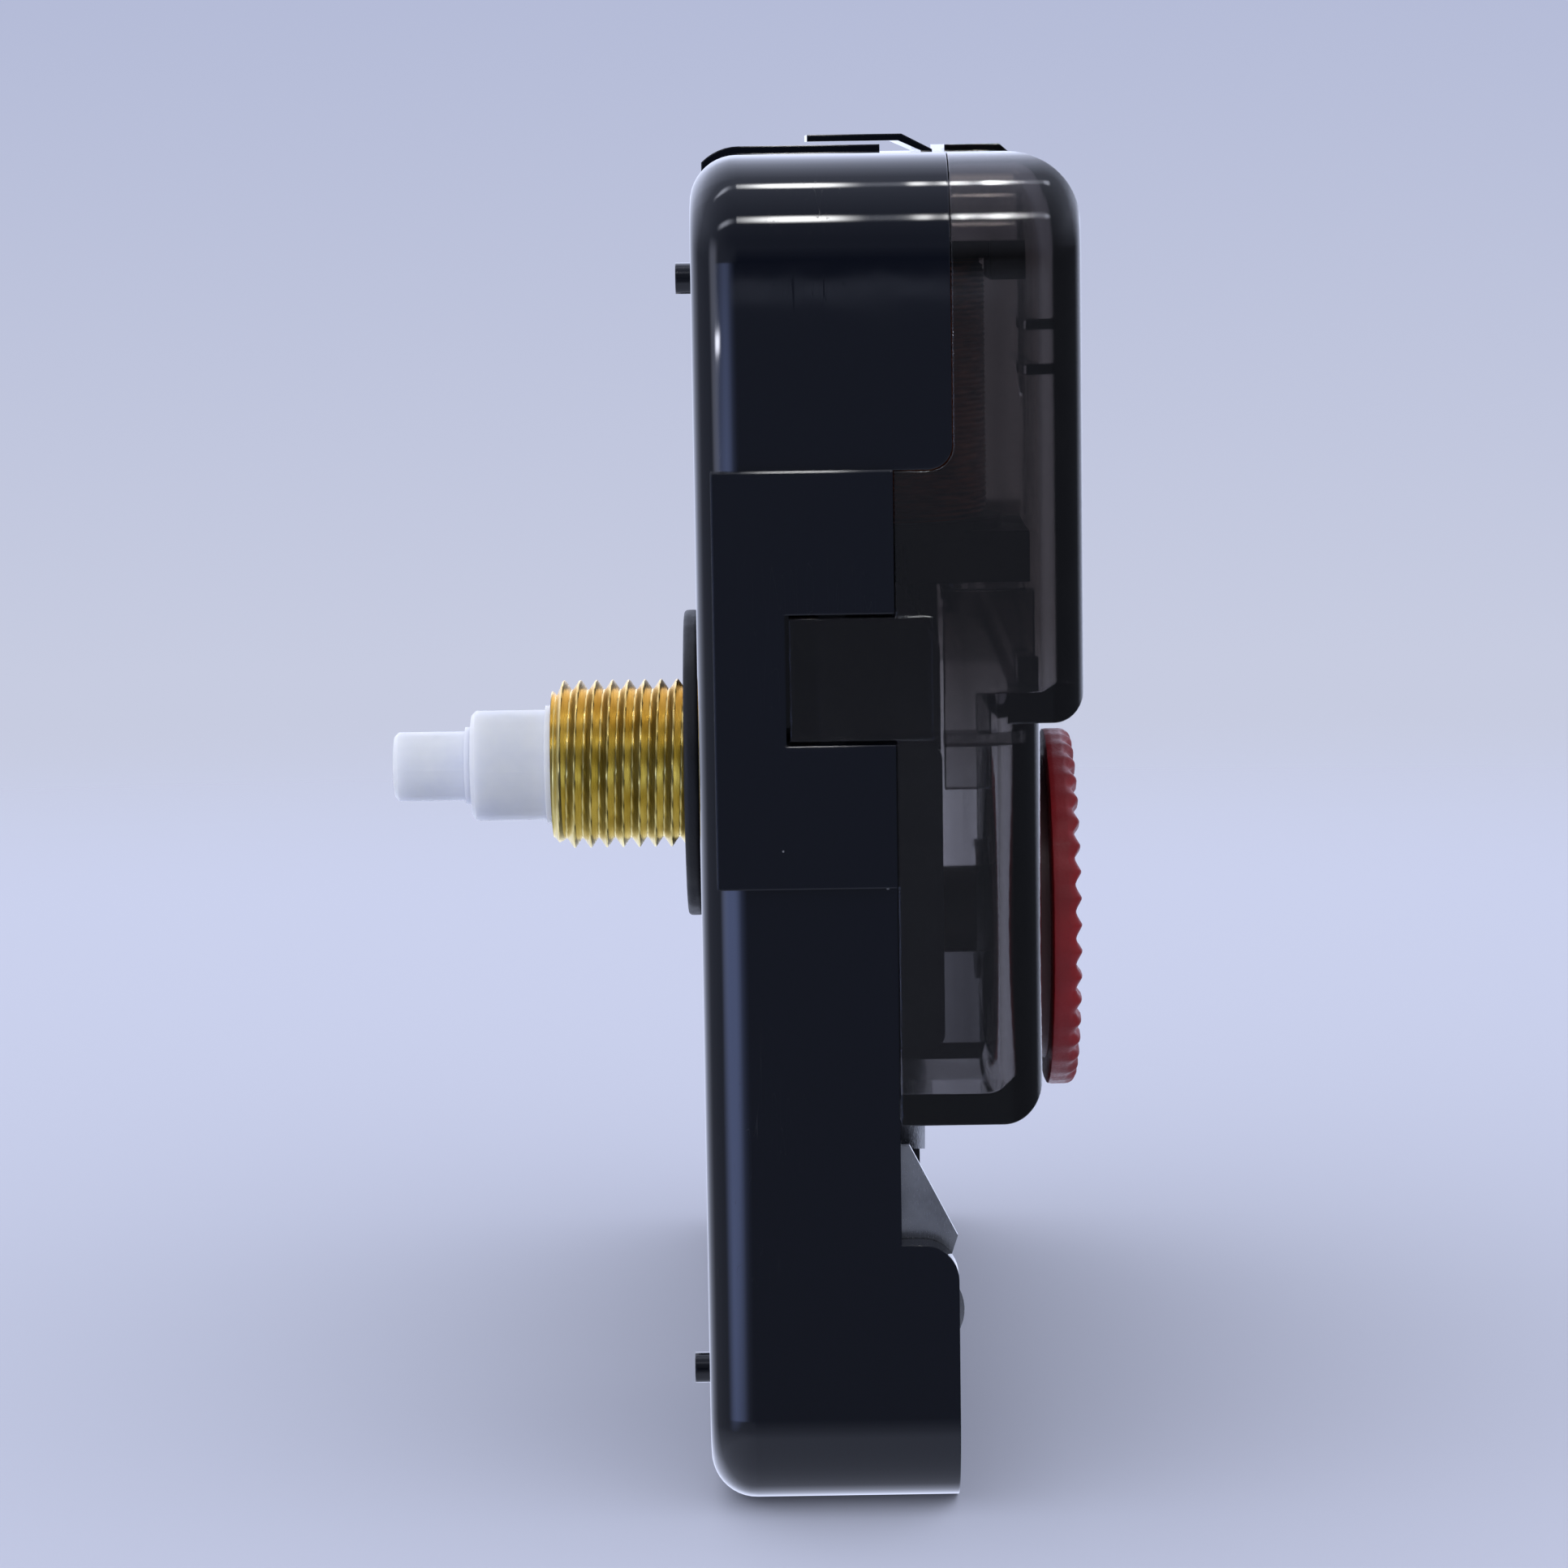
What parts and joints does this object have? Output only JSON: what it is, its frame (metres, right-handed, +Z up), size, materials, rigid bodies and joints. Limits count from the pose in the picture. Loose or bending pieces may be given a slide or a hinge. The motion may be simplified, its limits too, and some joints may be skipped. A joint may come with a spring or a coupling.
{
  "type": "quartz clock movement",
  "caption": "Square battery clock movement in a black moulded case with a smoked clip-on cover, a threaded brass bushing, coaxial hand arbors and a red hand-setting knob.",
  "frame": {"origin": "on the shaft line, in the plane of the gasket's front face, where the dial's back seats", "axes": "+Z up towards the hanger, -Y along the shaft towards the hands, +X to the side of the setting knob, to the right seen from the front"},
  "size_m": [0.0566, 0.0304, 0.0568],
  "materials": {
    "black_case": "gloss",
    "smoked_cover": "gloss",
    "brass": "polished",
    "rubber": "matte",
    "white_plastic": "satin",
    "wheel_plastic": "satin",
    "spring_bronze": "satin",
    "dark_red_plastic": "satin",
    "red_plastic": "satin",
    "steel": "satin",
    "magnet": "matte",
    "nickel_iron": "satin",
    "bobbin_plastic": "satin",
    "copper_wire": "satin",
    "bridge_plastic": "satin",
    "board": "satin",
    "resin": "gloss",
    "nickel_can": "satin",
    "ceramic": "satin",
    "nickel_strip": "polished"
  },
  "bodies": {
    "housing": {"front_case": "black_case", "battery_bay": "black_case", "retaining_ring": "steel", "rear_cover": "smoked_cover", "thread_bushing": "brass", "dial_gasket": "rubber", "stator_plate": "nickel_iron", "coil_core": "nickel_iron", "coil_bobbin": "bobbin_plastic", "coil_winding": "copper_wire", "coil_terminals": "nickel_strip", "train_bridge": "bridge_plastic", "circuit_board": "board", "chip_blob": "resin", "crystal_can": "nickel_can", "chip_capacitor": "ceramic", "contact_positive": "nickel_strip", "contact_negative": "nickel_strip"},
    "minute": {"minute_arbor": "white_plastic", "cannon_pinion": "white_plastic", "clutch_spring": "spring_bronze"},
    "hour": {"hour_pipe": "white_plastic", "hour_wheel": "white_plastic"},
    "reverse": {"reverse_minute_wheel": "wheel_plastic"},
    "knob": {"setting_stem": "dark_red_plastic", "setting_knob": "red_plastic"},
    "second": {"second_arbor": "steel", "second_wheel": "wheel_plastic"},
    "third": {"third_wheel": "wheel_plastic"},
    "centre": {"centre_wheel": "wheel_plastic"},
    "intermediate": {"intermediate_wheel": "wheel_plastic"},
    "rotor": {"rotor_pinion": "wheel_plastic", "rotor_magnet": "magnet"}
  },
  "joints": [
    {"name": "knob_spin", "type": "hinge", "parent": "housing", "child": "knob", "pos_m": [0.01699, 0, -0.0042], "axis": [0, 1, 0], "continuous": true},
    {"name": "minute_spin", "type": "hinge", "parent": "housing", "child": "minute", "pos_m": [0, 0, 0], "axis": [0, 1, 0], "continuous": true},
    {"name": "hour_spin", "type": "hinge", "parent": "housing", "child": "hour", "pos_m": [0, 0, 0], "axis": [0, 1, 0], "continuous": true},
    {"name": "reverse_spin", "type": "hinge", "parent": "housing", "child": "reverse", "pos_m": [0.0068, 0, -0.00168], "axis": [0, 1, 0], "continuous": true},
    {"name": "rotor_spin", "type": "hinge", "parent": "housing", "child": "rotor", "pos_m": [0.00853, 0, 0.01209], "axis": [0, 1, 0], "continuous": true},
    {"name": "intermediate_spin", "type": "hinge", "parent": "housing", "child": "intermediate", "pos_m": [0.00302, 0, 0.00746], "axis": [0, 1, 0], "continuous": true},
    {"name": "second_spin", "type": "hinge", "parent": "housing", "child": "second", "pos_m": [0, 0, 0], "axis": [0, 1, 0], "continuous": true},
    {"name": "third_spin", "type": "hinge", "parent": "housing", "child": "third", "pos_m": [-0.00686, 0, 0.00396], "axis": [0, 1, 0], "continuous": true},
    {"name": "centre_spin", "type": "hinge", "parent": "housing", "child": "centre", "pos_m": [0, 0, 0], "axis": [0, 1, 0], "continuous": true}
  ],
  "couplings": [
    {"joint": "minute_spin", "follows": "knob_spin", "ratio": 3},
    {"joint": "hour_spin", "follows": "knob_spin", "ratio": 0.25},
    {"joint": "reverse_spin", "follows": "knob_spin", "ratio": -1},
    {"joint": "intermediate_spin", "follows": "rotor_spin", "ratio": -0.2},
    {"joint": "second_spin", "follows": "rotor_spin", "ratio": 0.033333},
    {"joint": "third_spin", "follows": "rotor_spin", "ratio": -0.0044444},
    {"joint": "centre_spin", "follows": "rotor_spin", "ratio": 0.00055556}
  ]
}
